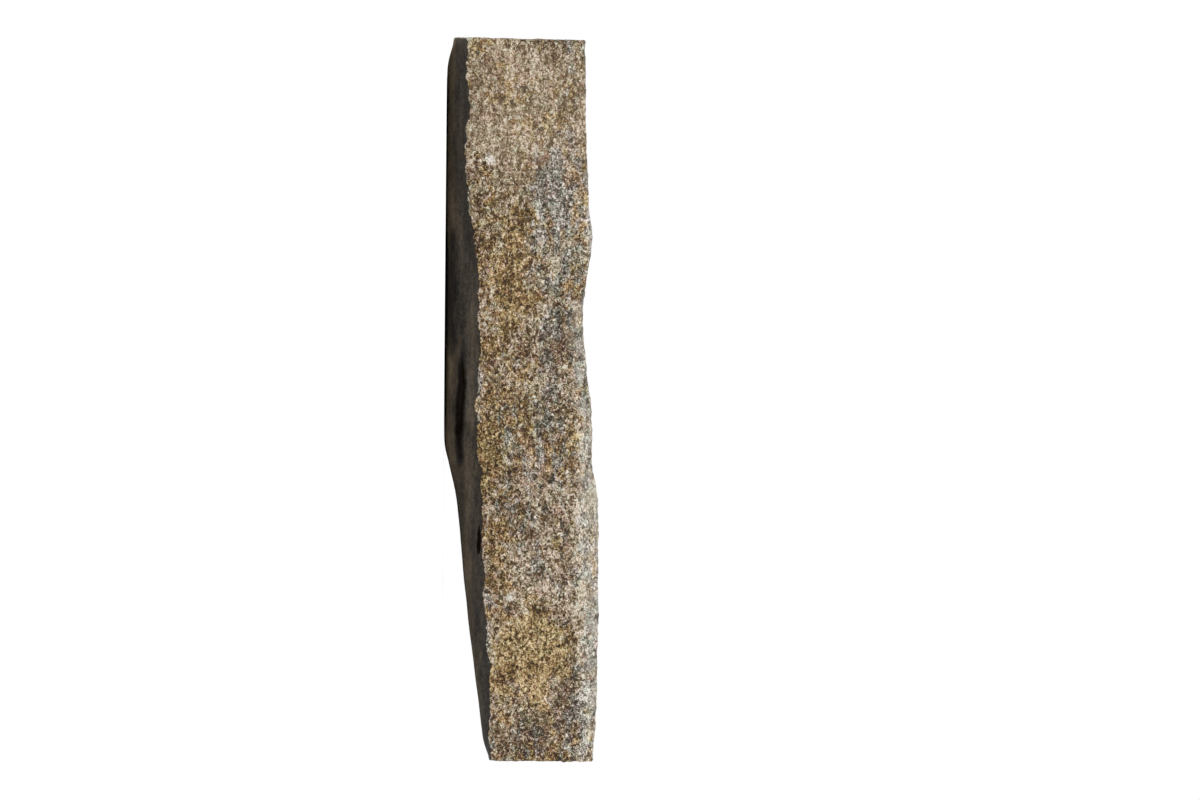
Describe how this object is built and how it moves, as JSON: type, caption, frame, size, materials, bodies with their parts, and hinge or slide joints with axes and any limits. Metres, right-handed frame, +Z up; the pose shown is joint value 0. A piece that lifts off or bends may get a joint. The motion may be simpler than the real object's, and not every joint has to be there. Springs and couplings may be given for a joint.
{
  "type": "stepping stone",
  "caption": "Irregular slab of split, banded natural stone that lies flat on its own bed as a stepping stone: straight broken front edge, riven tread, undercut underside.",
  "frame": {"origin": "middle of the bounding box, on the plane of the flat bed that the stone rests on", "axes": "+Z up, from the bed to the tread; +X along the long straight front edge, towards the end whose underside rises; -Y out of that front edge"},
  "size_m": [0.3034, 0.2554, 0.0654],
  "materials": {
    "stone": "matte"
  },
  "bodies": {
    "root": {"stepping_stone": "stone"}
  },
  "joints": []
}
